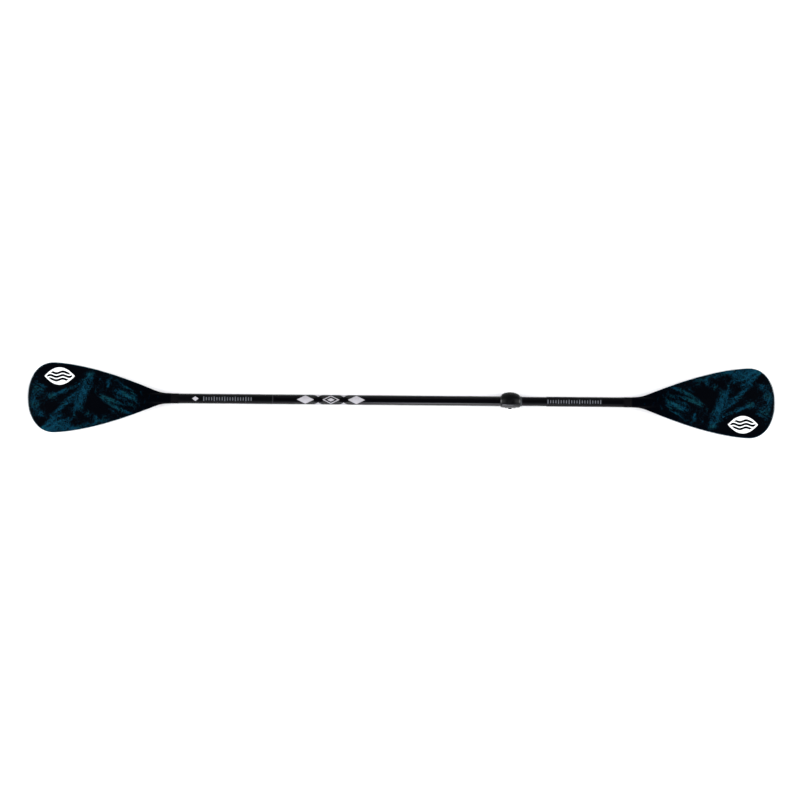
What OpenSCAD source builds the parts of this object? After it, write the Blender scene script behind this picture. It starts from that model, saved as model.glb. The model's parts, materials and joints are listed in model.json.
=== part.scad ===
// Take-apart kayak paddle: two dished blades on an aluminium shaft made of three sections.
// A sprung button joins the left and centre sections. A cam-lever lock at the right end of
// the centre section sets the paddle's length and the angle between the blades.
// The shaft runs along X and the blades lie back face up, with their edges on Z = 0.

/* [Paddle] */
// Length from blade tip to blade tip at the middle of the length setting
paddle_length = 2200; // [2160:5:2240]
// Shaft position of the seam between the left and centre sections
seam_x = -378; // [-400:1:-360]
// Shaft position of the lock's inner end
lock_x = 292; // [280:1:300]
// Length of thin tube that shows between the lock and the right tube
gap_length = 72; // [60:1:80]

/* [Blades] */
// Length of one blade, from neck end to tip
blade_length = 422; // [400:1:440]
// Width of one blade
blade_width = 206; // [180:1:220]
// Thickness of the blade plate at its root
blade_thickness = 4; // [3.5:0.1:5]
// How far the tip hangs below the shaft axis
blade_drop = 30; // [26:1:34]
// Depth of the dish across the blade
blade_dish = 9; // [7:0.5:11]
// Length over which the back's spine fades into the plate
spine_length = 280; // [200:5:320]

/* [Tubes] */
// Outside diameter of the main tubes
tube_d = 29; // [28:0.1:30]
// Wall of every tube
tube_wall = 1; // [0.9:0.05:1.1]
// Gap all round between the sliding tube and the tube that holds it
slide_gap = 0.1; // [0.06:0.01:0.1]
// How far the thin tube reaches into the centre section, from the lock's inner end
tube_overlap = 142; // [120:1:160]
// Length of the textured band at each neck
band_length = 23; // [18:1:26]

/* [Lock] */
// Length of the lock's body along the shaft
lock_length = 58; // [56:1:62]
// Wall of the lock's ring
ring_wall = 4; // [3.5:0.1:4.5]
// Height of the lever's crown above the ring
crown_height = 8; // [7:0.1:9]
// Radius of the tension bolt and of the lever's pin
bolt_r = 2.5; // [2.3:0.1:2.6]
// Eccentricity of the cam
cam_throw = 0.6; // [0.4:0.1:0.8]

/* [Button] */
// Radius of the push button
button_r = 3; // [2.6:0.1:3.4]
// How far the button stands proud of the tube
button_proud = 2.8; // [2:0.1:3]

/* [Hidden] */
$fn = 96;
overcut = 1;

// Blade outline: a rounded tip, then a flank that draws in to the neck
tip_run = 75;
tip_power = 2.15;
tip_flat = 1;
flank_power = 1.59;
flank_share = 0.985;
neck_fillet = 6.2;
edge_round = 3;
tip_thinning = 0.25;
neck_steps = 18;
tip_steps = 8;
ring_steps = 14;

// Shaft sizes worked out from the driving ones
tube_r = tube_d / 2;
bore_r = tube_r - tube_wall;
inner_r = bore_r - slide_gap;
neck_r = tube_r + 0.7;
neck_x = paddle_length / 2 - blade_length;
spigot_length = 80;
spigot_bore_r = inner_r - 3.5;
band_wall = 0.5;
lock_end = lock_x + lock_length;
tube_end = lock_end - 4;
collar_end = lock_end + 5;
step_x = collar_end + gap_length;
inner_start = lock_x - tube_overlap;
inner_end = step_x + 93;
ferrule_reach = 80;
ferrule_wall = 2;
ferrule_r = bore_r - 0.05;
seal_x = seam_x + 15;
foam_r = bore_r - 0.1;
foam_gap = 6;

// Lock sizes: Y and Z places are measured from the shaft axis
ring_r = tube_r + ring_wall;
lever_gap = 0.6;
lever_in_r = ring_r + lever_gap;
crown_r = ring_r + crown_height + 0.5;
crown_arc_r = 50;
lever_inset = 3.5;
lever_from = -25;
lever_to = 113;
split_width = 3;
ear_x = 9;
ear_far = tube_r + 5.5;
ear_near = 11;
ear_top = -8;
ear_bottom = -tube_r - 12.5;
bolt_x = lock_x + 28;
bolt_z = -tube_r - 6;
pivot_y = 19.5;
cam_r = 6.4;
lobe_half = 17;
eye_half = 4;
eye_r = 5.2;
slot_half = eye_half + 0.5;
pin_gap = 0.05;
hole_gap = 0.3;
plate_t = 1.2;
nut_r = 5;
nut_out = ear_far + 3;
nut_in = ear_far - 2.5;
collar_r = tube_r - 0.06;
collar_bore_r = inner_r + 0.05;
flange_r = tube_r + 0.9;
flange_x = lock_end - 2.8;
flange_t = 1.4;

// Button and spring, from the seam
button_x = seam_x + 38;
button_foot_r = 4.5;
spring_t = 0.8;
spring_w = 7;
spring_bend_r = 3;
spring_reach = 40;

function smooth(t) = let (c = min(1, max(0, t))) c * c * (3 - 2 * c);
function soft_max(a, b, c) = (a + b + sqrt((a - b) * (a - b) + c * c)) / 2;

// Half the blade's width at a distance u out from the neck
function half_width(u) =
    let (s = blade_length - u + tip_flat, run = blade_length - tip_run)
    s < tip_run
        ? blade_width / 2 * pow(1 - pow(1 - s / tip_run, tip_power), 1 / tip_power)
        : soft_max(
            blade_width / 2 * (1 - flank_share * pow((s - tip_run) / run, flank_power)),
            neck_r - 0.6, neck_fillet
        );

// Height of the blade's middle surface above the shaft axis
function mid_z(u, y) =
    -blade_drop * pow(u / blade_length, 2)
    - blade_dish * pow(2 * y / blade_width, 2) * smooth(u / 120);

// Half the plate's thickness, rounded off at its edge
function plate_half(u, y) =
    let (inset = max(0, half_width(u) - abs(y)))
    blade_thickness / 2 * (1 - tip_thinning * u / blade_length)
    * sqrt(1 - pow(max(0, 1 - inset / edge_round), 2));

// Height of the rounded spine, a half circle at the neck that fades over its run
function spine_half(u, y, run) =
    let (reach = min(half_width(u), neck_r + 0.05 * u))
    (neck_r - 0.1) * (1 - smooth(u / run))
    * pow(max(0, 1 - pow(y / reach, 2)), 0.5 + smooth(u / 90));

function skin_half(u, y, run) =
    sqrt(pow(plate_half(u, y), 2) + pow(spine_half(u, y, run), 2));

// The back face's spine is long, and the power face's is half as long
function back_z(u, y) = mid_z(u, y) + skin_half(u, y, spine_length);
function face_z(u, y) = mid_z(u, y) - skin_half(u, y, spine_length / 2);

stations = concat(
    [for (i = [0 : neck_steps]) (blade_length - tip_run) * pow(i / neck_steps, 1.4)],
    [for (i = [1 : tip_steps]) blade_length - tip_run + tip_run * sin(90 * i / tip_steps)]
);

// One closed loop of points round the blade at u: over the back, then under the face
function blade_ring(u) = let (w = half_width(u)) concat(
    [for (j = [0 : ring_steps]) let (y = w * cos(180 * j / ring_steps))
        [neck_x + u, y, back_z(u, y)]],
    [for (j = [ring_steps - 1 : -1 : 1]) let (y = w * cos(180 * j / ring_steps))
        [neck_x + u, y, face_z(u, y)]]
);

blade_points = [for (u = stations) each blade_ring(u)];
axis_z = -min([for (p = blade_points) p.z]);

// Shaped blade plate and neck, as rings of points along the shaft
module blade_skin() {
    per = 2 * ring_steps;
    last = len(stations) - 1;
    sides = [
        for (i = [0 : last - 1], k = [0 : per - 1])
            let (
                a = i * per + k,
                b = (i + 1) * per + k,
                c = (i + 1) * per + (k + 1) % per,
                d = i * per + (k + 1) % per
            )
            each [[a, b, c], [a, c, d]]
    ];
    neck_cap = [for (k = [0 : per - 1]) k];
    tip_cap = [for (k = [per - 1 : -1 : 0]) last * per + k];
    translate([0, 0, axis_z])
        polyhedron(points = blade_points, faces = concat(sides, [neck_cap, tip_cap]));
}

// Round bar along the shaft
module rod(from_x, to_x, r) {
    translate([from_x, 0, axis_z])
        rotate([0, 90, 0])
            cylinder(r = r, h = to_x - from_x);
}

module pipe(from_x, to_x, r_out, r_in) {
    difference() {
        rod(from_x, to_x, r_out);
        rod(from_x - overcut, to_x + overcut, r_in);
    }
}

// Sweeps a profile round the shaft. X is radius and Y is shaft position in the profile.
// Angles run from +Y towards +Z.
module turned(from_a = 0, to_a = 360) {
    translate([0, 0, axis_z])
        rotate([0, 90, 0])
            rotate([0, 0, from_a + 90])
                rotate_extrude(angle = to_a - from_a)
                    children();
}

// Round bar across the lock, along Y at the height of the tension bolt
module cross_rod(from_y, to_y, r) {
    translate([bolt_x, from_y, axis_z + bolt_z])
        rotate([-90, 0, 0])
            cylinder(r = r, h = to_y - from_y);
}

// Round bar along the lever's pivot
module pivot_rod(half, r) {
    translate([bolt_x - half, pivot_y, axis_z + bolt_z])
        rotate([0, 90, 0])
            cylinder(r = r, h = 2 * half);
}

// Profile drawn as Y and Z from the shaft axis, made solid between two shaft positions
module slab(from_x, to_x) {
    translate([from_x, 0, axis_z])
        rotate([90, 0, 90])
            linear_extrude(to_x - from_x)
                children();
}

// Hole or bar up and down at the button's place
module button_rod(from_z, to_z, r1, r2) {
    translate([button_x, 0, axis_z + from_z])
        cylinder(r1 = r1, r2 = r2, h = to_z - from_z);
}

module blade() {
    difference() {
        union() {
            blade_skin();
            rod(neck_x - spigot_length, neck_x + overcut, inner_r);
        }
        rod(neck_x - spigot_length - overcut, neck_x + 2 * overcut, spigot_bore_r);
    }
}

module band() {
    pipe(neck_x - band_length, neck_x, tube_r + band_wall, tube_r);
}

module left_blade() {
    color("#0d3346") rotate([0, 0, 180]) blade();
}

module right_blade() {
    color("#0d3346") blade();
}

module left_band() {
    color("#2b2b30") rotate([0, 0, 180]) band();
}

module right_band() {
    color("#2b2b30") band();
}

module left_tube() {
    color("#101012") pipe(-neck_x, seam_x, tube_r, bore_r);
}

// The slot lets the tube's end close on the thin tube inside it
module centre_tube() {
    slot_x = lock_x + 8;
    color("#141218")
        difference() {
            pipe(seam_x, tube_end, tube_r, bore_r);
            translate([slot_x, -split_width / 2, axis_z - tube_r - overcut])
                cube([lock_length, split_width, tube_r]);
            button_rod(-tube_r - overcut, 0, button_r + pin_gap, button_r + pin_gap);
        }
}

module right_tube() {
    color("#101012") pipe(step_x, neck_x, tube_r, bore_r);
}

module inner_tube() {
    color("#17161b") pipe(inner_start, inner_end, inner_r, inner_r - tube_wall);
}

// Sleeve bonded into the left tube, which the centre tube slides over
module joint_ferrule() {
    groove_r = ferrule_r - ferrule_wall / 2;
    color("#3a3c40")
        difference() {
            pipe(seam_x - ferrule_reach, seam_x + ferrule_reach, ferrule_r, ferrule_r - ferrule_wall);
            pipe(seal_x - 1, seal_x + 1, ferrule_r + overcut, groove_r);
            button_rod(-tube_r, 0, button_r + pin_gap, button_r + pin_gap);
        }
}

module ferrule_plug() {
    plug_x = seam_x + ferrule_reach;
    stem_length = 14;
    head_t = 3;
    color("#1c1d20") {
        rod(plug_x - stem_length, plug_x + overcut, ferrule_r - ferrule_wall);
        rod(plug_x, plug_x + head_t, ferrule_r);
    }
}

module ferrule_seal() {
    seal_t = 0.48;
    color("#08080a")
        turned()
            translate([ferrule_r - seal_t, seal_x])
                circle(r = seal_t, $fn = 32);
}

// Folded spring strip: a bend, then two legs that spread to the ferrule's wall
module v_spring() {
    bend_x = button_x - spring_reach + 5;
    top_rise = 7.3;
    low_rise = 5.6;
    outer = spring_bend_r + spring_t / 2;
    inner = spring_bend_r - spring_t / 2;
    color("#a9adb3")
        translate([bend_x, spring_w / 2, axis_z])
            rotate([90, 0, 0])
                linear_extrude(spring_w)
                    polygon(concat(
                        [[spring_reach, outer + top_rise]],
                        [for (a = [90 : 15 : 270]) outer * [cos(a), sin(a)]],
                        [[spring_reach, -outer - low_rise], [spring_reach, -inner - low_rise]],
                        [for (a = [270 : -15 : 90]) inner * [cos(a), sin(a)]],
                        [[spring_reach, inner + top_rise]]
                    ));
}

module push_button() {
    tip = -tube_r - button_proud;
    foot_z = -10.3;
    color("#b9bcc0") {
        button_rod(tip, tip + 1, button_r - 0.8, button_r);
        button_rod(tip + 1, foot_z + 0.5, button_r, button_r);
        button_rod(foot_z, foot_z + 1, button_foot_r, button_foot_r);
    }
}

module left_foam() {
    color("#d8d4c8")
        rod(-neck_x + spigot_length + foam_gap, seam_x - ferrule_reach - foam_gap, foam_r);
}

module centre_foam() {
    from_x = seam_x + ferrule_reach + 50;
    foam_length = 180;
    color("#d8d4c8") rod(from_x, from_x + foam_length, foam_r);
}

module right_foam() {
    color("#d8d4c8") rod(inner_end + foam_gap, neck_x - spigot_length - foam_gap, foam_r);
}

// Plug that guides the thin tube's hidden end and keeps water out of it
module guide_plug() {
    plug_length = 15;
    color("#1c1d20") {
        rod(inner_start - plug_length, inner_start, inner_r);
        rod(inner_start - overcut, inner_start + plug_length, inner_r - tube_wall);
    }
}

// Bearing ring that turns with the thin tube, held lengthwise by its flange
module end_collar() {
    color("#4a4d52")
        difference() {
            union() {
                rod(tube_end + 0.4, collar_end, collar_r);
                rod(flange_x, flange_x + flange_t, flange_r);
            }
            rod(lock_x, collar_end + overcut, collar_bore_r);
        }
}

// Ear block seen from above, on the side given by its sign
module ear(far_y) {
    side = sign(far_y);
    chamfer = 5;
    translate([0, 0, axis_z + ear_bottom])
        linear_extrude(ear_top - ear_bottom)
            polygon([
                [lock_x + ear_x, side * split_width / 2],
                [lock_x + ear_x, far_y - side * chamfer],
                [lock_x + ear_x + chamfer, far_y],
                [lock_end - ear_x - chamfer, far_y],
                [lock_end - ear_x, far_y - side * chamfer],
                [lock_end - ear_x, side * split_width / 2]
            ]);
}

// Split ring with two ears below it, which the tension bolt draws together
module clamp_body() {
    chamfer_x = 5;
    chamfer_r = 2;
    groove_x = lock_x + 19.5;
    groove_w = 1;
    groove_depth = 0.6;
    flange_play = 0.3;
    color("#0f1012")
        difference() {
            union() {
                turned()
                    polygon([
                        [tube_r - 0.5, lock_x],
                        [ring_r - chamfer_r, lock_x],
                        [ring_r, lock_x + chamfer_x],
                        [ring_r, lock_end - chamfer_x],
                        [ring_r - chamfer_r, lock_end],
                        [tube_r - 0.5, lock_end]
                    ]);
                ear(-ear_far);
                ear(ear_near);
            }
            rod(lock_x - overcut, lock_end + overcut, tube_r);
            rod(flange_x - flange_play, flange_x + flange_t + flange_play, flange_r + 0.1);
            pipe(groove_x, groove_x + groove_w, ring_r + overcut, ring_r - groove_depth);
            translate([lock_x - overcut, -split_width / 2, axis_z + ear_bottom - overcut])
                cube([lock_length + 2 * overcut, split_width, -ear_bottom]);
            cross_rod(-ear_far - overcut, ear_near + overcut, bolt_r + hole_gap);
            cross_rod(-ear_far - overcut, -nut_in, nut_r + hole_gap);
        }
}

// Crown that wraps the ring, on two cam lobes that turn on the pin
module clamp_lever() {
    root_a = -20;
    lobe_w = lobe_half - slot_half;
    arm = [
        [pivot_y - cam_r + 0.2, bolt_z + 1],
        lever_in_r * [cos(root_a), sin(root_a)],
        (crown_r - 2) * [cos(root_a), sin(root_a)],
        [pivot_y + cam_r - cam_throw - 0.1, bolt_z + 1]
    ];
    color("#0a0b0d")
        difference() {
            union() {
                turned(lever_from, lever_to)
                    intersection() {
                        translate([crown_r - crown_arc_r, bolt_x])
                            circle(r = crown_arc_r);
                        translate([lever_in_r, lock_x + lever_inset])
                            square([crown_height, lock_length - 2 * lever_inset]);
                    }
                for (from_x = [bolt_x - lobe_half, bolt_x + slot_half])
                    slab(from_x, from_x + lobe_w) {
                        translate([pivot_y - cam_throw, bolt_z])
                            circle(r = cam_r);
                        polygon(arm);
                    }
            }
            pivot_rod(lobe_half + overcut, bolt_r + pin_gap);
        }
}

module lever_pin() {
    color("#9a9da2") pivot_rod(lobe_half, bolt_r);
}

// Bolt across both ears, with an eye that the lever's pin goes through
module clamp_bolt() {
    color("#9a9da2")
        difference() {
            union() {
                cross_rod(-nut_out + 1.4, pivot_y, bolt_r);
                pivot_rod(eye_half, eye_r);
            }
            pivot_rod(eye_half + overcut, bolt_r);
        }
}

module adjuster_nut() {
    coin_slot = 1.2;
    color("#17181b")
        difference() {
            cross_rod(-nut_out, -nut_in, nut_r);
            cross_rod(-nut_out - overcut, -nut_in + overcut, bolt_r + pin_gap);
            translate([bolt_x - nut_r - overcut, -nut_out - overcut, axis_z + bolt_z - coin_slot / 2])
                cube([2 * (nut_r + overcut), overcut + 1, coin_slot]);
        }
}

// Wear plate between the cam lobes and the near ear
module cam_plate() {
    plate_top = -tube_r - 0.9;
    color("#9a9da2")
        difference() {
            translate([bolt_x - lobe_half, ear_near, axis_z + ear_bottom])
                cube([2 * lobe_half, plate_t, plate_top - ear_bottom]);
            cross_rod(ear_near - overcut, ear_near + plate_t + overcut, bolt_r + hole_gap);
        }
}

left_blade();
right_blade();
left_band();
right_band();
left_tube();
centre_tube();
right_tube();
inner_tube();
joint_ferrule();
ferrule_plug();
ferrule_seal();
v_spring();
push_button();
left_foam();
centre_foam();
right_foam();
guide_plug();
end_collar();
clamp_body();
clamp_lever();
lever_pin();
clamp_bolt();
adjuster_nut();
cam_plate();
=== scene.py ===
import bpy
import bmesh
import json
import math
import numpy as np
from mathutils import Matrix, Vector


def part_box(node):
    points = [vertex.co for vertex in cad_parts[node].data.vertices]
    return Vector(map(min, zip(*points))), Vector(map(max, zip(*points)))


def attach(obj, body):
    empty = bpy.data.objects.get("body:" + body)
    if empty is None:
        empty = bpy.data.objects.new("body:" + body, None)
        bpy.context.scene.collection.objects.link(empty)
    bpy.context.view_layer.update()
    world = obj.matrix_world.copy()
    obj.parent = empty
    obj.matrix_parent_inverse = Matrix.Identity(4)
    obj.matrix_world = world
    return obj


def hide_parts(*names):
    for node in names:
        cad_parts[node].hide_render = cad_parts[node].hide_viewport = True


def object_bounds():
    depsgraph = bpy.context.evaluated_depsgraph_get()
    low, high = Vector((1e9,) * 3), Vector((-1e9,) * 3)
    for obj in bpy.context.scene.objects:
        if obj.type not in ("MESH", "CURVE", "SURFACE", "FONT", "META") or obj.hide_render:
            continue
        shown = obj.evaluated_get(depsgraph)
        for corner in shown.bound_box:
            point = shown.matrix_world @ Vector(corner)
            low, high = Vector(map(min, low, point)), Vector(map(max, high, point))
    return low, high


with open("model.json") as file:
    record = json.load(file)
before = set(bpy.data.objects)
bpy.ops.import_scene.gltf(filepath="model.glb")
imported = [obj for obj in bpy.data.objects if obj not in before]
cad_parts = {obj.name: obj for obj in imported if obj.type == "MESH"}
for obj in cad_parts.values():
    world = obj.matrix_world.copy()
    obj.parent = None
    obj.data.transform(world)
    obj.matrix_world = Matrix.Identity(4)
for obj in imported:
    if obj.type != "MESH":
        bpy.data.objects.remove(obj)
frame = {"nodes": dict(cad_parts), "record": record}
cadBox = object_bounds()
print("frame loaded:", len(frame["nodes"]), "nodes")

mm = 0.001


# places that several pieces share, all read from the frame

def middle(node, axis):
    low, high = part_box(node)
    return (low[axis] + high[axis]) / 2


shaftZ = middle("left_tube", 2)
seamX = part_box("left_tube")[1][0]
lockMidX = middle("clamp_body", 0)
neckX = {"left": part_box("left_tube")[0][0], "right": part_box("right_tube")[1][0]}
side = {"left": -1, "right": 1}


# small tools for building node materials

def link(tree, value, socket):
    if isinstance(value, bpy.types.NodeSocket):
        tree.links.new(value, socket)
    elif value is not None:
        socket.default_value = value


def calc(tree, operation, a, b=None, c=None, clamp=False):
    node = tree.nodes.new("ShaderNodeMath")
    node.operation = operation
    node.use_clamp = clamp
    for i, value in enumerate((a, b, c)):
        link(tree, value, node.inputs[i])
    return node.outputs[0]


def invert(tree, value):
    return calc(tree, "SUBTRACT", 1, value)


def times(tree, *values):
    out = values[0]
    for value in values[1:]:
        out = calc(tree, "MULTIPLY", out, value)
    return out


def total(tree, *values):
    out = values[0]
    for value in values[1:]:
        out = calc(tree, "ADD", out, value)
    return out


def step(tree, value, low, high):
    node = tree.nodes.new("ShaderNodeMapRange")
    node.interpolation_type = "SMOOTHSTEP"
    link(tree, value, node.inputs["Value"])
    node.inputs["From Min"].default_value = low
    node.inputs["From Max"].default_value = high
    return node.outputs["Result"]


def mix(tree, factor, a, b):
    node = tree.nodes.new("ShaderNodeMix")
    node.data_type = "RGBA"
    link(tree, factor, node.inputs["Factor"])
    for value, socket in ((a, node.inputs[6]), (b, node.inputs[7])):
        if isinstance(value, (tuple, list)):
            value = tuple(value[:3]) + (1,)
        link(tree, value, socket)
    return node.outputs[2]


def noise(tree, vector, scale, detail=4, roughness=0.5, distortion=0):
    node = tree.nodes.new("ShaderNodeTexNoise")
    link(tree, vector, node.inputs["Vector"])
    node.inputs["Scale"].default_value = scale
    node.inputs["Detail"].default_value = detail
    node.inputs["Roughness"].default_value = roughness
    node.inputs["Distortion"].default_value = distortion
    return node.outputs["Fac"]


def stretch(tree, vector, scale=(1, 1, 1), turn=0):
    node = tree.nodes.new("ShaderNodeMapping")
    link(tree, vector, node.inputs["Vector"])
    node.inputs["Rotation"].default_value = (0, 0, turn)
    node.inputs["Scale"].default_value = scale
    return node.outputs["Vector"]


def bump(tree, height, strength, depth, under=None):
    node = tree.nodes.new("ShaderNodeBump")
    link(tree, height, node.inputs["Height"])
    link(tree, under, node.inputs["Normal"])
    node.inputs["Strength"].default_value = strength
    node.inputs["Distance"].default_value = depth
    return node.outputs["Normal"]


def place(tree):
    return tree.nodes.new("ShaderNodeTexCoord").outputs["Object"]


def parts(tree, vector):
    node = tree.nodes.new("ShaderNodeSeparateXYZ")
    link(tree, vector, node.inputs[0])
    return node.outputs[0], node.outputs[1], node.outputs[2]


def attribute(tree, name):
    node = tree.nodes.new("ShaderNodeAttribute")
    node.attribute_name = name
    return node.outputs["Vector"]


def newMaterial(name, **settings):
    mat = bpy.data.materials.new(name)
    mat.use_nodes = True
    tree = mat.node_tree
    tree.nodes.clear()
    shader = tree.nodes.new("ShaderNodeBsdfPrincipled")
    out = tree.nodes.new("ShaderNodeOutputMaterial")
    tree.links.new(shader.outputs[0], out.inputs["Surface"])
    for socket, value in settings.items():
        shader.inputs[socket.replace("_", " ")].default_value = value
    return mat, tree, shader


# printed blade film: teal marbling on near-black, with a pale badge, and a painted teal sheen along the
# rounded edge

bladePrintAndEdgeSheen = {
    "black": (0.0003, 0.0006, 0.0014),
    "deep": (0.0004, 0.0047, 0.0088),
    "teal": (0.0014, 0.0225, 0.0415),
    "sea": (0.0024, 0.0255, 0.0335),
    "bright": (0.0045, 0.0450, 0.0740),
    # painted sheen: the teal fringe along the blade's rounded edge stands in for light caught there
    "rim": (0.005, 0.042, 0.062),
    "badge": (0.80, 0.82, 0.82),
    "badgePlace": (329, 63),
    "badgeHalf": (45, 26),
    "badgeWave": 0.40,
    "badgeSwell": 0.10,
    "badgeTurns": 7.5,
    "edgeSheenWidth": 2.6,
    "marbleScale": {"streak": 3.6, "curl": 8.5, "fine": 31},
}


def badgeMask(tree, along, across):
    # pointed oval with three wavy lines cut out of it, centred on the badge's place in mm
    half, centre, wave = bladePrintAndEdgeSheen["badgeHalf"], bladePrintAndEdgeSheen["badgePlace"], bladePrintAndEdgeSheen["badgeWave"]
    x = calc(tree, "DIVIDE", calc(tree, "SUBTRACT", times(tree, along, 100), centre[0]), half[0])
    y = calc(tree, "DIVIDE", calc(tree, "SUBTRACT", times(tree, across, 100), centre[1]), half[1])
    bow = invert(tree, times(tree, x, x))
    oval = calc(tree, "SUBTRACT", bow, calc(tree, "ABSOLUTE", y))
    inside = step(tree, oval, 0.0, 0.03)
    swell = times(tree, calc(tree, "SINE", times(tree, x, bladePrintAndEdgeSheen["badgeTurns"])),
                  bladePrintAndEdgeSheen["badgeSwell"])
    rows = calc(tree, "ADD", y, swell)
    line = invert(tree, step(tree, calc(tree, "PINGPONG", rows, wave / 2), 0.12, 0.145))
    line = times(tree, line, calc(tree, "LESS_THAN", calc(tree, "ABSOLUTE", rows), 1.5 * wave))
    field = times(tree, step(tree, oval, 0.24, 0.27), line)
    return calc(tree, "SUBTRACT", inside, times(tree, inside, field), clamp=True)


def spread(tree, value, gain, cover, floor):
    # noise about its middle, stronger where there is more ink
    swing = times(tree, calc(tree, "SUBTRACT", value, 0.5), gain)
    return times(tree, swing, calc(tree, "MULTIPLY_ADD", cover, 1 - floor, floor))


def makeBladeFilm():
    look = bladePrintAndEdgeSheen
    mat, tree, shader = newMaterial("bladeFilm", IOR=1.46)
    spot = attribute(tree, "bladePlace")
    rising, falling, steep = parts(tree, attribute(tree, "inkWeights"))
    # the third value is a painted sheen along the rounded edge, not ink
    quiet, green, rim = parts(tree, attribute(tree, "inkToneAndEdgeSheen"))
    raw = total(tree, rising, falling, steep)
    share = calc(tree, "MAXIMUM", raw, 0.02)
    cover = invert(tree, calc(tree, "EXPONENT", times(tree, raw, -1.0)))
    # streaks that run three ways, each where its own strokes are
    streaks = []
    for weight, turn in ((rising, 30), (falling, -26), (steep, 68)):
        lane = stretch(tree, stretch(tree, spot, turn=math.radians(turn)), (0.7, 3.4, 1))
        fibre = noise(tree, lane, look["marbleScale"]["streak"], 7, 0.62, 0.9)
        streaks.append(times(tree, fibre, calc(tree, "DIVIDE", weight, share)))
    bare = times(tree, calc(tree, "LESS_THAN", raw, 0.02), 0.5)
    streak = calc(tree, "ADD", total(tree, *streaks), bare)
    curl = noise(tree, spot, look["marbleScale"]["curl"], 7, 0.68, 2.2)
    fine = noise(tree, spot, look["marbleScale"]["fine"], 4, 0.7, 0.9)
    strength = total(
        tree,
        times(tree, cover, 0.66),
        spread(tree, streak, 2.8, cover, 0.12),
        spread(tree, curl, 3.0, cover, 0.55),
        spread(tree, fine, 2.2, cover, 0.40),
    )
    strength = calc(tree, "SUBTRACT", strength, times(tree, quiet, 0.5))
    colour = mix(tree, step(tree, strength, 0.10, 0.34), look["black"], look["deep"])
    hue = calc(tree, "ADD", noise(tree, spot, 3.4, 2, 0.5, 0.3), times(tree, green, 0.3))
    lit = mix(tree, step(tree, hue, 0.52, 0.76), look["teal"], look["sea"])
    colour = mix(tree, step(tree, strength, 0.26, 0.62), colour, lit)
    colour = mix(tree, step(tree, strength, 0.72, 1.25), colour, look["bright"])
    # painted sheen: teal colour laid along the rounded edge
    colour = mix(tree, times(tree, rim, 0.85), colour, look["rim"])
    along, across, face = parts(tree, spot)
    # the badge is on the upper face only
    mask = times(tree, badgeMask(tree, along, across), calc(tree, "GREATER_THAN", face, 0))
    colour = mix(tree, mask, colour, look["badge"])
    tree.links.new(colour, shader.inputs["Base Color"])
    scuff = noise(tree, stretch(tree, spot, (2, 30, 1), 0.4), 4, 5, 0.7)
    rough = calc(tree, "ADD", 0.15, times(tree, scuff, 0.12))
    tree.links.new(rough, shader.inputs["Roughness"])
    # the film stops short of the neck, which is duller
    film = calc(tree, "MULTIPLY_ADD", step(tree, along, 0.6, 1.9), 0.055, 0.015)
    tree.links.new(film, shader.inputs["Specular IOR Level"])
    grain = noise(tree, spot, 60, 3, 0.6)
    tree.links.new(bump(tree, grain, 0.12, 0.0004), shader.inputs["Normal"])
    return mat


# blades

blade = {
    "length": abs(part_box("left_blade")[0][0] - neckX["left"]) / mm,
    "width": round((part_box("left_blade")[1][1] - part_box("left_blade")[0][1]) / mm),
    "neckRadius": 15.2,
    "thickness": 4.0,
    "drop": 30.0,
    "dish": 9.0,
    "spine": 280.0,
    "tipRun": 75.0,
    "tipPower": 2.15,
    "flankTaper": 0.985,
    "flankPower": 1.59,
    "neckTrim": 0.6,
    "neckBlend": 6.2,
    "edgeRound": 3.0,
    "stations": 130,
    "tipStations": 44,
    "across": 60,
    "neckBevel": 0.7,
    "spigot": [(0, 14.7), (0, 13.4), (-79, 13.4), (-80, 12.6)],
}

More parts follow.
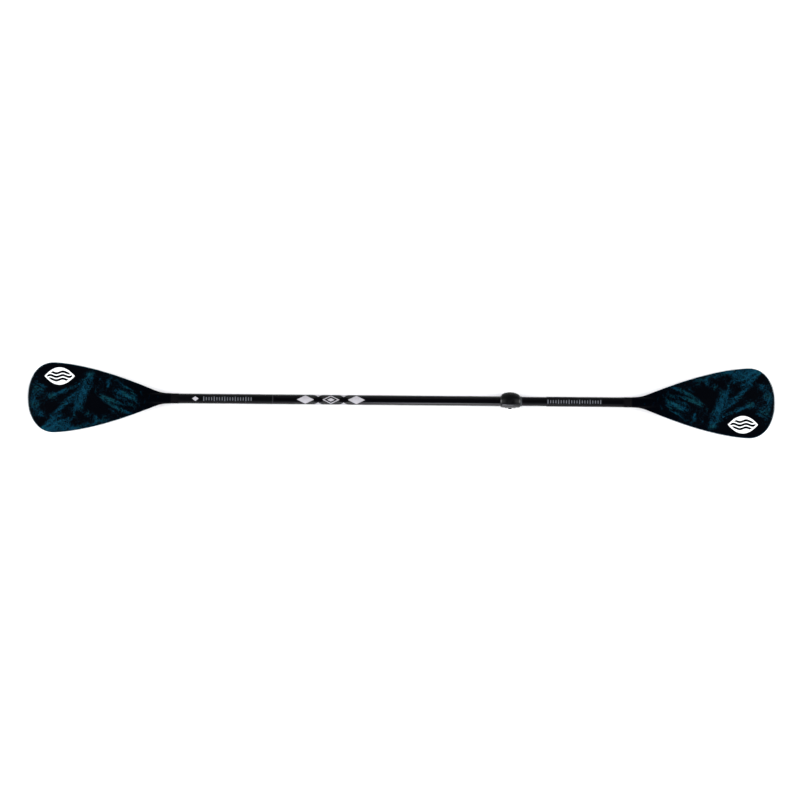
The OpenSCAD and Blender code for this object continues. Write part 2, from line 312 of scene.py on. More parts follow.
# print strokes: out from the neck, across, half length, half width, slope, strength, greenness
strokes = [
    # the bright head and what trails up from it
    (250, 44, 32, 15, 80, 1.4, 0), (259, 20, 32, 17, 70, 1.6, 0), (268, -8, 26, 13, 62, 1.3, 0),
    (240, 69, 13, 9, 60, 0.6, 0), (225, 77, 17, 7, 45, 0.4, 0.5),
    # long strokes swept back from the head
    (283, 39, 40, 6, 33, 1.1, 0), (302, 27, 50, 5, 28, 0.8, 0.3), (320, 18, 42, 6, 22, 0.7, 0.3),
    (346, 14, 22, 7, 12, 0.45, 0.3), (298, 1, 36, 5, 40, 1.1, 0), (307, -14, 34, 5, 36, 0.9, 0),
    (318, -26, 30, 5, 34, 0.7, 0), (331, -35, 16, 5, 25, 0.4, 0), (357, 4, 18, 9, 10, 0.55, 0.5),
    # tip edge
    (396, 65, 13, 13, 70, 1.3, 0), (392, 38, 18, 14, -50, 0.9, 0.3), (382, 22, 14, 9, 50, 0.7, 0.3),
    (405, 20, 12, 8, 80, 0.8, 0), (372, 32, 12, 8, -40, 0.55, 0.6), (403, -12, 19, 13, 75, 1.3, 0),
    (396, -31, 16, 9, 60, 0.9, 0), (390, -46, 15, 7, 20, 0.8, 0), (377, -53, 14, 7, -30, 0.6, 0),
    # broad patch on the long edge near the tip
    (345, -78, 33, 14, 12, 1.7, 0), (364, -86, 20, 11, 30, 1.5, 0), (317, -82, 26, 12, -12, 1.4, 0),
    (345, -96, 42, 7, 6, 1.1, 0.2), (298, -92, 26, 6, 14, 0.6, 0.2), (276, -86, 22, 7, 14, 0.5, 0.3),
    (249, -80, 22, 8, 16, 0.5, 0.3), (222, -63, 10, 7, 85, 1.0, 0.3), (211, -72, 17, 7, 25, 0.9, 0.3),
    (190, -67, 13, 5, 22, 0.4, 0),
    # small curls
    (264, -36, 9, 8, 80, 0.95, 1), (246, -48, 11, 8, 60, 0.95, 1), (284, -52, 12, 8, -40, 0.6, 0.5),
    (300, -63, 12, 7, 30, 0.6, 0), (331, -50, 14, 9, 10, 0.6, 0.5), (350, -57, 12, 7, -20, 0.5, 0),
    (197, -51, 9, 6, 20, 0.6, 0.5), (288, -33, 9, 7, 70, 0.3, 0.4),
    # streaks that fall towards the neck
    (206, 4, 16, 6, -30, 0.9, 0.8), (182, -4, 30, 5, -22, 0.8, 0.8), (159, -13, 26, 4.5, -22, 0.7, 0.6),
    (180, -17, 24, 4.5, -32, 0.55, 0.5), (154, -31, 30, 6, -22, 0.8, 0.2), (135, -39, 20, 5, -24, 0.7, 0.2),
    (172, -38, 14, 5, -30, 0.5, 0), (142, 13, 24, 7, -28, 0.9, 0.3), (123, 4, 24, 7, -36, 0.8, 0.3),
    (105, -4, 18, 8, -60, 0.6, 0.3), (150, 1, 20, 5, -18, 0.6, 0.3), (118, -18, 22, 6, -24, 0.7, 0.3),
    (158, 18, 14, 6, 20, 0.6, 0.2), (141, 36, 14, 7, -35, 0.35, 0.3), (126, 28, 14, 6, -50, 0.5, 0.3),
    (112, 18, 15, 6, -45, 0.6, 0.3),
    # marks near the upper edge
    (186, 38, 16, 5, 80, 0.7, 0), (178, 58, 14, 6, 50, 0.4, 0.2), (206, 60, 14, 7, 60, 0.4, 0.2),
    (222, 18, 9, 4, 80, 0.7, 0.8), (212, 34, 10, 5, 60, 0.4, 0.5), (196, 26, 12, 5, -50, 0.3, 0.4),
    (160, 52, 14, 6, -20, 0.3, 0),
    # thin marks near the neck
    (64, 0, 12, 2.5, 86, 0.7, 0.5), (48, -3, 10, 2, 86, 0.7, 0.5), (38, 4, 9, 2, 86, 0.5, 0.5),
    (76, -11, 10, 2.5, 80, 0.7, 0.5), (86, 14, 9, 3, -60, 0.6, 0.5), (94, -22, 8, 3, 70, 0.5, 0.5),
]

# plain black areas: out, across, half length, half width, slope, strength
quietAreas = [
    (329, 63, 74, 40, 0, 1.0), (232, 0, 22, 20, 60, 0.9), (214, -30, 30, 14, -10, 0.9),
    (360, 84, 60, 14, 24, 0.6), (240, 92, 60, 12, -14, 0.7), (352, -28, 20, 12, 0, 0.5),
    (380, -72, 16, 10, 50, 0.9), (30, 0, 60, 40, 0, 0.45), (262, -58, 20, 10, 10, 0.3),
]


def smoothStep(t):
    t = np.clip(t, 0, 1)
    return t * t * (3 - 2 * t)


def halfWidth(u):
    s = np.maximum(blade["length"] - u, 0)
    run = blade["length"] - blade["tipRun"]
    wide, power = blade["width"] / 2, blade["tipPower"]
    tip = wide * (1 - np.abs(1 - np.minimum(s / blade["tipRun"], 1)) ** power) ** (1 / power)
    share = np.maximum(s - blade["tipRun"], 0) / run
    flank = wide * (1 - blade["flankTaper"] * share ** blade["flankPower"])
    neck = blade["neckRadius"] - blade["neckTrim"]
    flank = (flank + neck + np.sqrt((flank - neck) ** 2 + blade["neckBlend"] ** 2)) / 2
    return np.where(s < blade["tipRun"], tip * flankJoin(), flank)


def flankJoin():
    # the flank's value where the tip starts, so the two meet
    wide, neck = blade["width"] / 2, blade["neckRadius"] - blade["neckTrim"]
    joined = (wide + neck + math.sqrt((wide - neck) ** 2 + blade["neckBlend"] ** 2)) / 2
    return joined / wide


def insetFrom(u, y):
    # distance in from the outline, along the blade and across it together
    across = np.maximum(halfWidth(u) - np.abs(y), 0)
    wide, power = blade["width"] / 2 * flankJoin(), blade["tipPower"]
    reach = blade["tipRun"] * (1 - (1 - np.minimum(np.abs(y) / wide, 1) ** power) ** (1 / power))
    along = np.maximum(blade["length"] - u - reach, 0)
    return across * along / np.maximum(np.hypot(across, along), 1e-6)


def bladeHeights(u, y):
    wide = halfWidth(u)
    mid = -blade["drop"] * (u / blade["length"]) ** 2
    mid = mid - blade["dish"] * (2 * y / blade["width"]) ** 2 * smoothStep(u / 120)
    plate = blade["thickness"] / 2 * (1 - 0.25 * u / blade["length"])
    inset = insetFrom(u, y)
    edge = np.clip(1 - inset / blade["edgeRound"], 0, 1)
    plate = plate * np.sqrt(1 - edge ** 2)
    reach = np.minimum(wide, blade["neckRadius"] + 0.05 * u)
    bow = np.clip(1 - (y / np.maximum(reach, 1e-6)) ** 2, 0, 1) ** (0.5 + smoothStep(u / 90))
    tops = []
    for sign, run in ((1, blade["spine"]), (-1, blade["spine"] / 2)):
        spine = (blade["neckRadius"] - 0.1) * (1 - smoothStep(u / run)) * bow
        tops.append(mid + sign * np.sqrt(plate ** 2 + spine ** 2))
    return tops


def blobs(u, y, out, up, halfLong, halfWide, slope, power):
    angle = math.radians(slope)
    dx, dy = out - u, y - up
    along = dx * math.cos(angle) + dy * math.sin(angle)
    across = -dx * math.sin(angle) + dy * math.cos(angle)
    return np.exp(-((along / halfLong) ** 2 + (across / halfWide) ** 2) ** power)


def inkAt(u, y):
    # ink by lane, then how quiet and how green it is there
    weights, tone = np.zeros((len(u), 3)), np.zeros((len(u), 3))
    for out, up, halfLong, halfWide, slope, strength, green in strokes:
        blob = strength * blobs(u, y, out, up, halfLong, halfWide, slope, 1.2)
        lane = 1 if slope < 0 else (2 if slope > 50 else 0)
        weights[:, lane] += blob
        tone[:, 1] += blob * green
    for out, up, halfLong, halfWide, slope, strength in quietAreas:
        tone[:, 0] += strength * blobs(u, y, out, up, halfLong, halfWide, slope, 1.6)
    tone[:, :2] = np.minimum(tone[:, :2], 1)
    return weights, tone


def makeBlade(where):
    sign = side[where]
    bodyRun = blade["length"] - blade["tipRun"]
    lead = blade["neckBevel"]
    us = list(lead + (bodyRun - lead) * (np.arange(blade["stations"]) / blade["stations"]) ** 1.25)
    turns = np.arange(blade["tipStations"]) / blade["tipStations"]
    us += list(bodyRun + blade["tipRun"] * np.sin(turns * math.pi / 2))
    us = np.array(us)
    count = blade["across"]
    angles = np.pi * np.arange(count + 1) / count
    verts, ringSize = [], 2 * count
    place2d = []
    for u in us:
        ys = halfWidth(np.array([u]))[0] * np.cos(angles)
        top, under = bladeHeights(np.full(len(ys), u), ys)
        for j in range(count + 1):
            verts.append((u, ys[j], top[j]))
            place2d.append((u, -ys[j], 1))
        for j in range(count - 1, 0, -1):
            verts.append((u, ys[j], under[j]))
            place2d.append((u, -ys[j], -1))
    verts.append((blade["length"], 0, -blade["drop"]))
    place2d.append((blade["length"], 0, 1))
    faces = []
    for i in range(len(us) - 1):
        for k in range(ringSize):
            a, b = i * ringSize + k, i * ringSize + (k + 1) % ringSize
            faces.append((a, a + ringSize, b + ringSize, b))
    last = (len(us) - 1) * ringSize
    for k in range(ringSize):
        faces.append((last + k, len(verts) - 1, last + (k + 1) % ringSize))
    # bevelled neck end, then the spigot that is glued into the tube
    ring = list(range(ringSize))
    for x, radius in blade["spigot"]:
        turned = []
        for k in range(ringSize):
            spin = math.pi * k / count
            turned.append(len(verts))
            verts.append((x, radius * math.cos(spin), radius * math.sin(spin)))
            place2d.append((0, -radius * math.cos(spin), -1))
        for k in range(ringSize):
            faces.append((ring[k], ring[(k + 1) % ringSize], turned[(k + 1) % ringSize], turned[k]))
        ring = turned
    faces.append(tuple(ring))
    points = [(neckX[where] + sign * u * mm, sign * y * mm, shaftZ + z * mm) for u, y, z in verts]
    mesh = bpy.data.meshes.new(where + "Blade")
    mesh.from_pydata(points, [], faces)
    spots = np.array(place2d, float)
    flat = mesh.attributes.new("bladePlace", "FLOAT_VECTOR", "POINT")
    local = np.column_stack([spots[:, 0] / 100, spots[:, 1] / 100, spots[:, 2]])
    flat.data.foreach_set("vector", local.ravel())
    weights, tone = inkAt(spots[:, 0], spots[:, 1])
    inset = insetFrom(spots[:, 0], spots[:, 1])
    # third value: painted sheen along the rounded edge, fading out towards the neck
    tone[:, 2] = np.clip(1 - inset / bladePrintAndEdgeSheen["edgeSheenWidth"], 0, 1) * smoothStep((spots[:, 0] - 60) / 80)
    for name, values in (("inkWeights", weights), ("inkToneAndEdgeSheen", tone)):
        data = mesh.attributes.new(name, "FLOAT_VECTOR", "POINT").data
        data.foreach_set("vector", values.ravel())
    piece = bpy.data.objects.new(where + "BladeSkin", mesh)
    bpy.context.collection.objects.link(piece)
    tidyMesh(piece)
    mesh.materials.append(materials["bladeFilm"])
    hold(piece, where + "_blade")
    return piece


def tidyMesh(piece):
    work = bmesh.new()
    work.from_mesh(piece.data)
    bmesh.ops.remove_doubles(work, verts=work.verts, dist=2e-6)
    bmesh.ops.recalc_face_normals(work, faces=work.faces)
    for face in work.faces:
        face.smooth = True
    work.to_mesh(piece.data)
    work.free()


bodyOf = {}
for bodyName, nodeNames in frame["record"]["behaviour"]["bodies"].items():
    for nodeName in nodeNames:
        bodyOf[nodeName] = bodyName


def newPiece(name, verts, faces, finish):
    mesh = bpy.data.meshes.new(name)
    mesh.from_pydata(verts, [], faces)
    piece = bpy.data.objects.new(name, mesh)
    bpy.context.collection.objects.link(piece)
    tidyMesh(piece)
    mesh.materials.append(materials[finish])
    return piece


def hold(piece, node):
    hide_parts(node)
    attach(piece, bodyOf[node])


# shaft finishes: anodised tube with printed marks

shaftInk = {
    "white": (0.36, 0.35, 0.375),
    "grey": (0.15, 0.16, 0.18),
    "ground": (0.010, 0.011, 0.0105),
    "seam": (0.035, 0.035, 0.040),
}


def aroundShaft(tree):
    # metres along the shaft, and degrees round it from straight up
    x, y, z = parts(tree, place(tree))
    angle = calc(tree, "ARCTAN2", y, calc(tree, "SUBTRACT", z, shaftZ))
    return x, times(tree, angle, 180 / math.pi)


def lozenge(tree, x, y, atX, atY, halfLong, halfTall):
    dx = calc(tree, "DIVIDE", calc(tree, "ABSOLUTE", calc(tree, "SUBTRACT", x, atX)), halfLong)
    dy = calc(tree, "DIVIDE", calc(tree, "ABSOLUTE", calc(tree, "SUBTRACT", y, atY)), halfTall)
    return invert(tree, calc(tree, "ADD", dx, dy))


def between(tree, value, low, high, soft):
    rise = step(tree, value, low - soft, low + soft)
    fall = step(tree, value, high - soft, high + soft)
    return times(tree, rise, invert(tree, fall))


def tickRow(tree, x, angle, fromX, toX, halfTurn):
    # ruler ticks: every fourth one is tall (400 keeps the count positive)
    pitch = ruler["pitch"]
    local = calc(tree, "SUBTRACT", x, fromX)
    index = calc(tree, "ROUND", calc(tree, "DIVIDE", local, pitch))
    off = calc(tree, "ABSOLUTE", calc(tree, "SUBTRACT", local, times(tree, index, pitch)))
    line = invert(tree, step(tree, off, 0.0009, 0.0014))
    fourth = calc(tree, "COMPARE", calc(tree, "MODULO", calc(tree, "ADD", index, 400), 4), 0, 0.1)
    reach = calc(tree, "MULTIPLY_ADD", fourth, halfTurn * 0.25, halfTurn * 0.75)
    tall = calc(tree, "LESS_THAN", calc(tree, "ABSOLUTE", angle), reach)
    span = between(tree, x, fromX - pitch / 2, toX + pitch / 2, 0.0002)
    return times(tree, line, tall, span)


def tubeMaterial(name, base, roughness, gloss, marks=None):
    mat, tree, shader = newMaterial(name, IOR=1.5)
    shader.inputs["Specular IOR Level"].default_value = gloss
    spot = place(tree)
    drawn = noise(tree, stretch(tree, spot, (6, 900, 900)), 1.0, 4, 0.6)
    cloud = noise(tree, spot, 14, 4, 0.55)
    colour = mix(tree, step(tree, cloud, 0.3, 0.7), base, tuple(1.5 * c for c in base))
    line = times(tree, step(tree, drawn, 0.55, 0.8), 0.5)
    colour = mix(tree, line, colour, tuple(2.4 * c for c in base))
    rough = calc(tree, "ADD", roughness, times(tree, drawn, 0.10))
    # the cut ends at the joint show a fine bare line
    nearSeam = calc(tree, "ABSOLUTE", calc(tree, "SUBTRACT", parts(tree, spot)[0], seamX))
    bare = invert(tree, step(tree, nearSeam, 0.0004, 0.0008))
    colour = mix(tree, bare, colour, shaftInk["seam"])
    if marks:
        colour, inked = marks(tree, colour)
        rough = calc(tree, "ADD", rough, times(tree, inked, 0.2))
    tree.links.new(colour, shader.inputs["Base Color"])
    tree.links.new(rough, shader.inputs["Roughness"])
    tree.links.new(bump(tree, drawn, 0.10, 0.00025), shader.inputs["Normal"])
    return mat


argyle = {
    "firstX": -0.2821,
    "pitch": 0.0751,
    "halfLong": 0.0256,
    "halfTall": 0.0126,
    "sideHalfLong": 0.0185,
    "sideHalfTurn": 58,
    "plainHalfLong": 0.024,
    "plainHalfTall": 0.0105,
    "rim": 0.20,
    "core": 0.56,
}


def centreMarks(tree, colour):
    x, y, z = parts(tree, place(tree))
    upper = calc(tree, "GREATER_THAN", z, shaftZ)
    plain, inked = [], []
    for k in range(3):
        atX = argyle["firstX"] + k * argyle["pitch"]
        shape = lozenge(tree, x, y, atX, 0, argyle["halfLong"], argyle["halfTall"])
        mask = step(tree, shape, 0.0, 0.03)
        if k == 1:
            # the middle one is an outline round a small solid one
            hole = step(tree, shape, argyle["rim"], argyle["rim"] + 0.03)
            core = step(tree, shape, argyle["core"], argyle["core"] + 0.03)
            mask = calc(tree, "ADD", calc(tree, "SUBTRACT", mask, hole), core, clamp=True)
        inked.append(times(tree, mask, upper))
    away = calc(tree, "ABSOLUTE", aroundShaft(tree)[1])
    for k in (0.5, 1.5):
        # one on each side of the tube, wrapped round it
        atX = argyle["firstX"] + k * argyle["pitch"]
        shape = lozenge(tree, x, away, atX, 90, argyle["sideHalfLong"], argyle["sideHalfTurn"])
        inked.append(step(tree, shape, 0.0, 0.05))
        bareShape = lozenge(tree, x, y, atX, 0, argyle["plainHalfLong"], argyle["plainHalfTall"])
        plain.append(step(tree, bareShape, 0.0, 0.05))
    span = between(tree, x, argyle["firstX"], argyle["firstX"] + 2 * argyle["pitch"], 0.002)
    for mask in plain:
        span = times(tree, span, invert(tree, mask))
    colour = mix(tree, span, colour, shaftInk["ground"])
    ink = inked[0]
    for mask in inked[1:]:
        ink = calc(tree, "MAXIMUM", ink, mask)
    worn = noise(tree, place(tree), 300, 3, 0.6)
    faded = tuple(0.82 * c for c in shaftInk["white"])
    white = mix(tree, step(tree, worn, 0.35, 0.75), shaftInk["white"], faded)
    return mix(tree, ink, colour, white), ink


# tick rows: from, to, half turn; and the small diamond beside the left row
ruler = {
    "left": (-0.581, -0.4415, 27),
    "right": (0.4315, 0.5865, 25),
    "pitch": 0.00775,
    "dotX": -0.6056,
    "dotHalfLong": 0.0100,
    "dotHalfTurn": 29,
}


def leftMarks(tree, colour):
    x, angle = aroundShaft(tree)
    dot = lozenge(tree, x, angle, ruler["dotX"], 0, ruler["dotHalfLong"], ruler["dotHalfTurn"])
    dot = step(tree, dot, 0.0, 0.05)
    ticks = tickRow(tree, x, angle, *ruler["left"])
    colour = mix(tree, times(tree, ticks, 0.8), colour, shaftInk["grey"])
    return mix(tree, dot, colour, shaftInk["white"]), calc(tree, "MAXIMUM", dot, ticks)


def rightMarks(tree, colour):
    x, angle = aroundShaft(tree)
    ticks = tickRow(tree, x, angle, *ruler["right"])
    return mix(tree, times(tree, ticks, 0.85), colour, shaftInk["grey"]), ticks


def rubberBand():
    mat, tree, shader = newMaterial("bandRubber", IOR=1.5)
    shader.inputs["Specular IOR Level"].default_value = 0.028
    spot = place(tree)
    x, angle = aroundShaft(tree)
    weave = calc(tree, "SINE", times(tree, angle, 0.9))
    fleck = noise(tree, spot, 700, 4, 0.7)
    colour = mix(tree, step(tree, fleck, 0.35, 0.7), (0.0005, 0.0005, 0.0008), (0.0040, 0.0037, 0.0050))
    tree.links.new(colour, shader.inputs["Base Color"])
    shader.inputs["Roughness"].default_value = 0.62
    height = calc(tree, "ADD", times(tree, weave, 0.4), fleck)
    tree.links.new(bump(tree, height, 0.35, 0.0006), shader.inputs["Normal"])
    return mat


def mouldedPlastic(name, base, roughness, grainScale, grainDepth, specular=0.12):
    mat, tree, shader = newMaterial(name, IOR=1.5)
    shader.inputs["Specular IOR Level"].default_value = specular
    spot = place(tree)
    grain = noise(tree, spot, grainScale, 4, 0.6)
    cloud = noise(tree, spot, 60, 3, 0.5)
    colour = mix(tree, step(tree, cloud, 0.3, 0.7), base, tuple(1.45 * c + 0.001 for c in base))
    peaks = times(tree, step(tree, grain, 0.55, 0.8), 0.5)
    colour = mix(tree, peaks, colour, tuple(2.2 * c for c in base))
    tree.links.new(colour, shader.inputs["Base Color"])
    rough = calc(tree, "ADD", roughness, times(tree, grain, 0.15))
    tree.links.new(rough, shader.inputs["Roughness"])
    tree.links.new(bump(tree, grain, 0.3, grainDepth), shader.inputs["Normal"])
    return mat


def bareMetal(name, base, roughness, turned=(900, 900, 900)):
    mat, tree, shader = newMaterial(name, Metallic=1.0)
    spot = place(tree)
    lines = noise(tree, stretch(tree, spot, turned), 1.0, 5, 0.6)
    colour = mix(tree, step(tree, lines, 0.3, 0.7), base, tuple(0.72 * c for c in base))
    tree.links.new(colour, shader.inputs["Base Color"])
    rough = calc(tree, "ADD", roughness, times(tree, lines, 0.2))
    tree.links.new(rough, shader.inputs["Roughness"])
    tree.links.new(bump(tree, lines, 0.15, 0.0003), shader.inputs["Normal"])
    return mat


def cellFoam():
    mat, tree, shader = newMaterial("cellFoam")
    spot = place(tree)
    cells = tree.nodes.new("ShaderNodeTexVoronoi")
    link(tree, spot, cells.inputs["Vector"])
    cells.inputs["Scale"].default_value = 700
    wall = cells.outputs["Distance"]
    colour = mix(tree, step(tree, wall, 0.1, 0.6), (0.62, 0.59, 0.50), (0.78, 0.75, 0.66))
    tree.links.new(colour, shader.inputs["Base Color"])
    shader.inputs["Roughness"].default_value = 0.9
    tree.links.new(bump(tree, wall, 0.4, 0.0006), shader.inputs["Normal"])
    return mat


materials = {
    "bladeFilm": makeBladeFilm(),
    "leftTube": tubeMaterial("leftTubeFinish", (0.0007, 0.0008, 0.0011), 0.24, 0.10, leftMarks),
    "centreTube": tubeMaterial("centreTubeFinish", (0.0005, 0.0004, 0.0008), 0.17, 0.14, centreMarks),
    "rightTube": tubeMaterial("rightTubeFinish", (0.0004, 0.0004, 0.0007), 0.25, 0.08, rightMarks),
    "innerTube": tubeMaterial("innerTubeFinish", (0.0005, 0.0005, 0.0008), 0.27, 0.08),
    "band": rubberBand(),
    "lockBody": mouldedPlastic("lockBodyPlastic", (0.0012, 0.0013, 0.0016), 0.24, 900, 0.0002, 0.34),
    "lockLever": mouldedPlastic("lockLeverPlastic", (0.0008, 0.0008, 0.0011), 0.34, 420, 0.0005, 0.065),
    "nut": mouldedPlastic("nutPlastic", (0.0022, 0.0022, 0.0026), 0.36, 1100, 0.0002),
    "collar": mouldedPlastic("collarNylon", (0.030, 0.033, 0.036), 0.45, 1200, 0.0002),
    "nylon": mouldedPlastic("plugNylon", (0.012, 0.012, 0.014), 0.5, 800, 0.0003),
    "seal": mouldedPlastic("sealRubber", (0.004, 0.004, 0.004), 0.6, 1500, 0.0001),
    "ferrule": bareMetal("ferruleAlloy", (0.42, 0.43, 0.45), 0.34, (20, 900, 900)),
    "spring": bareMetal("springSteel", (0.58, 0.59, 0.61), 0.24, (60, 900, 900)),
    "steel": bareMetal("turnedSteel", (0.52, 0.52, 0.53), 0.26),
    "foam": cellFoam(),
}
print("materials ready:", len(materials))

finishOf = {
    "left_band": "band", "right_band": "band",
    "left_tube": "leftTube", "centre_tube": "centreTube", "right_tube": "rightTube",
    "inner_tube": "innerTube", "joint_ferrule": "ferrule", "ferrule_plug": "nylon",
    "ferrule_seal": "seal", "v_spring": "spring", "push_button": "steel",
    "left_foam": "foam", "centre_foam": "foam", "right_foam": "foam",
    "guide_plug": "nylon", "end_collar": "collar", "clamp_body": "lockBody",
    "clamp_lever": "lockLever", "lever_pin": "steel", "clamp_bolt": "steel",
    "adjuster_nut": "nut", "cam_plate": "steel",
}
for nodeName, finish in finishOf.items():
    for slotOfNode in bpy.data.objects[nodeName].material_slots:
        slotOfNode.material = materials[finish]
print("frame nodes finished:", len(finishOf))

for where in ("left", "right"):
    made = makeBlade(where)
    print("blade made:", made.name, len(made.data.polygons), "faces")


# textured bands: turned rings with fine ridges

band = {
    "inner": 14.52,
    "outer": 15.0,
    "ridgePitch": 1.9,
    "ridgeDepth": 0.28,
    "margin": 0.8,
    "bevel": 0.3,
    "sides": 128,
}


def makeBand(where):
    low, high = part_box(where + "_band")
    start, end = low[0] / mm, high[0] / mm
    margin, bevel = band["margin"], band["bevel"]
    ridges = round((end - start - 2 * margin) / band["ridgePitch"])
    pitch = (end - start - 2 * margin) / ridges
    valley, top = band["outer"] - band["ridgeDepth"], band["outer"]
    profile = [(start, band["inner"]), (start, valley), (start + bevel, top), (start + margin, top)]
    for k in range(ridges):
        x = start + margin + k * pitch
        profile += [(x + 0.12 * pitch, valley), (x + 0.34 * pitch, valley)]
        profile += [(x + 0.48 * pitch, top), (x + pitch, top)]
    profile += [(end - bevel, top), (end, valley), (end, band["inner"])]
    verts, faces = [], []
    for x, radius in profile:
        for k in range(band["sides"]):
            spin = 2 * math.pi * k / band["sides"]
            verts.append((x * mm, radius * mm * math.cos(spin), shaftZ + radius * mm * math.sin(spin)))
    rows, sides = len(profile), band["sides"]
    for i in range(rows):
        for k in range(sides):
            a, b = i * sides + k, i * sides + (k + 1) % sides
            c, d = ((i + 1) % rows) * sides + (k + 1) % sides, ((i + 1) % rows) * sides + k
            faces.append((a, b, c, d))
    piece = newPiece(where + "BandRing", verts, faces, "band")
    hold(piece, where + "_band")


for where in ("left", "right"):
    makeBand(where)
print("bands made")


# lock: the frame's shapes with moulded edges, ribs and a boss

lock = {
    "voxel": 0.46,
    "smoothing": 5,
    "crown": 27.0,
    "crownArc": 50.0,
    "gripTurns": (88, 94, 100, 106),
    "gripHalf": 13.0,
    "gripWidth": 0.85,
    "gripDepth": 0.9,
    "bossTurn": 45,
    "bossLifts": (-2.0, -1.0, 0.2, 0.55),
    "bossRadius": 2.4,
    "ring": 18.5,
    "ribStarts": (329, 333, 337, 341),
    "ribTurns": (24, 62),
    "ribLean": 5,
    "ribRadius": 0.65,
}


def aroundLock(x, radius, turn):
    # turn in degrees from +Y over the top
    spin = math.radians(turn)
    return (x * mm, radius * mm * math.cos(spin), shaftZ + radius * mm * math.sin(spin))


def crownAt(x):
    return lock["crown"] - lock["crownArc"] + np.sqrt(lock["crownArc"] ** 2 - (x - lockMidX / mm) ** 2)


def pressGrips(mesh):
    # thumb grooves pressed into the crown, which stay inside its outline
    spots = np.empty(len(mesh.vertices) * 3)
    mesh.vertices.foreach_get("co", spots)
    spots = spots.reshape(-1, 3)
    x, y, z = spots[:, 0] / mm, spots[:, 1] / mm, (spots[:, 2] - shaftZ) / mm
    radius, turn = np.hypot(y, z), np.degrees(np.arctan2(z, y))
    outside = smoothStep((radius - crownAt(x) + 2.4) / 1.2)
    ends = smoothStep((lock["gripHalf"] - np.abs(x - lockMidX / mm)) / 2.5)
    depth = np.zeros(len(x))
    for grip in lock["gripTurns"]:
        across = np.radians(turn - grip) * radius
        depth += lock["gripDepth"] * np.exp(-(across / lock["gripWidth"]) ** 2)
    shrink = 1 - depth * outside * ends / radius
    spots[:, 1] = y * shrink * mm
    spots[:, 2] = shaftZ + z * shrink * mm
    mesh.vertices.foreach_set("co", spots.ravel())


def addRod(work, path, radius, sides=10):
    # a round-ended rod along a path
    path = [Vector(p) for p in path]
    rings = []
    count = len(path)
    for i, point in enumerate(path):
        ahead = (path[min(i + 1, count - 1)] - path[max(i - 1, 0)]).normalized()
        sideways = ahead.orthogonal().normalized()
        upright = ahead.cross(sideways)
        size = radius * mm * (0.55 if i in (0, count - 1) else 1)
        ring = []
        for k in range(sides):
            spin = 2 * math.pi * k / sides
            outward = math.cos(spin) * sideways + math.sin(spin) * upright
            ring.append(work.verts.new(point + size * outward))
        if rings:
            for k in range(sides):
                work.faces.new((rings[-1][k], rings[-1][(k + 1) % sides], ring[(k + 1) % sides], ring[k]))
        rings.append(ring)
    work.faces.new(rings[0][::-1])
    work.faces.new(rings[-1])


def moulded(node, name, extras, press=None):
    # joins the frame's shape and the added rods into one skin with soft edges
    source = bpy.data.objects[node]
    work = bmesh.new()
    work.from_mesh(source.data)
    work.transform(source.matrix_world)
    for path, radius in extras:
        addRod(work, path, radius)
    bmesh.ops.recalc_face_normals(work, faces=work.faces)
    mesh = bpy.data.meshes.new(name + "Raw")
    work.to_mesh(mesh)
    work.free()
    raw = bpy.data.objects.new(name + "Raw", mesh)
    bpy.context.collection.objects.link(raw)
    skin = raw.modifiers.new("skin", "REMESH")
    skin.mode = "VOXEL"
    skin.voxel_size = lock["voxel"] * mm
    soft = raw.modifiers.new("soft", "SMOOTH")
    soft.iterations = lock["smoothing"]
    soft.factor = 0.5
    graph = bpy.context.evaluated_depsgraph_get()
    done = bpy.data.meshes.new_from_object(raw.evaluated_get(graph))
    done.name = name
    done.materials.clear()
    if press:
        press(done)
    piece = bpy.data.objects.new(name, done)
    bpy.context.collection.objects.link(piece)
    bpy.data.objects.remove(raw)
    for polygon in done.polygons:
        polygon.use_smooth = True
    done.materials.append(materials[name])
    hold(piece, node)
    print("moulded:", name, len(done.polygons), "faces")


def makeLock():
    midX = lockMidX / mm
    boss = [aroundLock(midX, lock["crown"] + lift, lock["bossTurn"]) for lift in lock["bossLifts"]]
    moulded("clamp_lever", "lockLever", [(boss, lock["bossRadius"])], pressGrips)
    ribs = []
    for start in lock["ribStarts"]:
        first, last = lock["ribTurns"]
        path = [aroundLock(start + lock["ribLean"] * t, lock["ring"] - 0.1,
                           90 + first + (last - first) * t)
                for t in np.linspace(0, 1, 15)]
        ribs.append((path, lock["ribRadius"]))
    moulded("clamp_body", "lockBody", ribs)


makeLock()


# studio: pale floor, soft light from both ends, low panels along the sides

studio = {
    "floorHalf": 30.0,
    "floorDrop": 0.3,
    "air": (0.82, 0.88, 1, 1),
    "airStrength": 0.10,
    "sunSlope": 58,
    "sunStrength": 4.6,
    "sunSpread": 52,
    "sunHeadings": {"rightLight": 90, "leftLight": -90},
    "panelColour": (0.90, 0.91, 1),
    # centre, size, power, tilt
    "panels": {
        "longFrontPanel": ((0, -2.4, 0.72), (1.26, 0.45), 7, 74),
        "longBackPanel": ((0, 2.4, 1.55), (1.26, 0.45), 4.5, -57),
        "frontPanel": ((0.13, -2.4, 0.85), (0.44, 1.3), 30, 72),
    },
    "sensor": 36,
    "cameraHeight": 20.0,
    "frameWidth": 2.3541,
    "roll": 0.50,
    "shiftX": 3.8,
    "shiftY": -1.0,
}


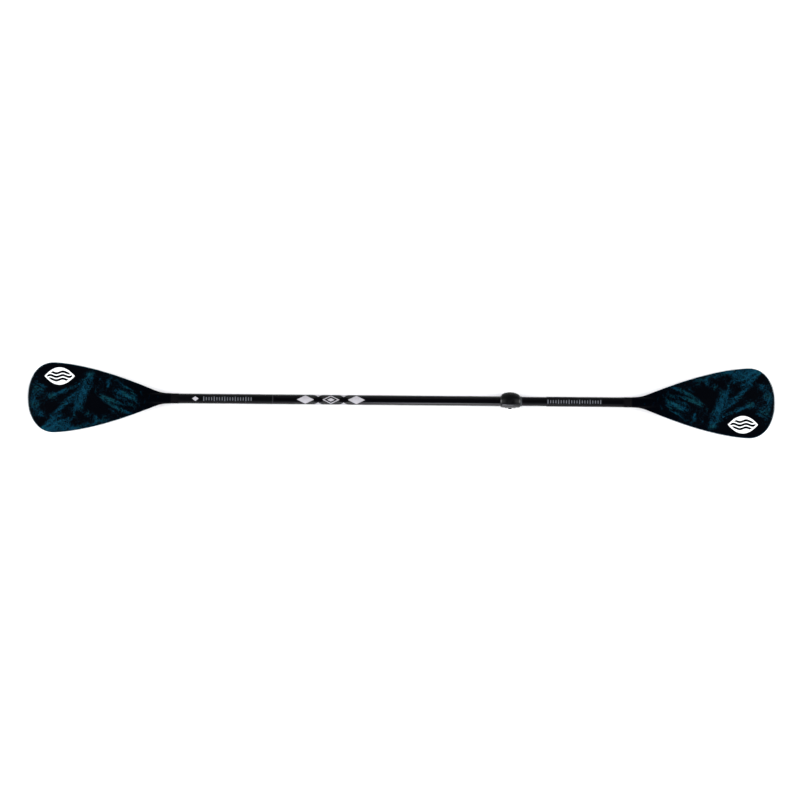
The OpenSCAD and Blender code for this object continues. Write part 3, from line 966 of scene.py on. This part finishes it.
def makeFloor():
    half = studio["floorHalf"]
    mesh = bpy.data.meshes.new("floor")
    corners = [(-half, -half, 0), (half, -half, 0), (half, half, 0), (-half, half, 0)]
    mesh.from_pydata(corners, [], [(0, 1, 2, 3)])
    floor = bpy.data.objects.new("studioFloor", mesh)
    floor.location.z = -studio["floorDrop"] * mm
    bpy.context.collection.objects.link(floor)
    mat, tree, shader = newMaterial("floorPaint", Roughness=0.9)
    shader.inputs["Base Color"].default_value = (0.9, 0.9, 0.9, 1)
    shader.inputs["Specular IOR Level"].default_value = 0.1
    floor.data.materials.append(mat)


def makeSun(name, heading):
    data = bpy.data.lights.new(name, "SUN")
    data.energy = studio["sunStrength"]
    data.angle = math.radians(studio["sunSpread"])
    lamp = bpy.data.objects.new(name, data)
    lamp.rotation_euler = (math.radians(studio["sunSlope"]), 0, math.radians(heading))
    bpy.context.collection.objects.link(lamp)


def makePanel(name, centre, size, power, tilt):
    data = bpy.data.lights.new(name, "AREA")
    data.shape = "RECTANGLE"
    data.size, data.size_y = size
    data.energy = power
    data.color = studio["panelColour"]
    lamp = bpy.data.objects.new(name, data)
    lamp.location = centre
    lamp.rotation_euler = (math.radians(tilt), 0, 0)
    lamp.visible_camera = False
    bpy.context.collection.objects.link(lamp)


def makeStudio():
    makeFloor()
    world = bpy.data.worlds.new("studioAir")
    world.use_nodes = True
    sky = world.node_tree.nodes["Background"]
    sky.inputs["Color"].default_value = studio["air"]
    sky.inputs["Strength"].default_value = studio["airStrength"]
    bpy.context.scene.world = world
    for name, heading in studio["sunHeadings"].items():
        makeSun(name, heading)
    for name, settings in studio["panels"].items():
        makePanel(name, *settings)
    view = bpy.context.scene.view_settings
    view.view_transform = "Standard"
    view.look = "None"


def makeCamera():
    data = bpy.data.cameras.new("camera")
    data.sensor_width = studio["sensor"]
    data.lens = studio["sensor"] * studio["cameraHeight"] / studio["frameWidth"]
    data.clip_end = 100
    camera = bpy.data.objects.new("camera", data)
    low, high = cadBox
    centre = ((low[0] + high[0]) / 2, (low[1] + high[1]) / 2)
    camera.location = (
        centre[0] - studio["shiftX"] * mm, centre[1] - studio["shiftY"] * mm,
        shaftZ + studio["cameraHeight"],
    )
    camera.rotation_euler = (0, 0, math.radians(studio["roll"]))
    bpy.context.collection.objects.link(camera)
    bpy.context.scene.camera = camera


makeStudio()
makeCamera()
print("studio ready")
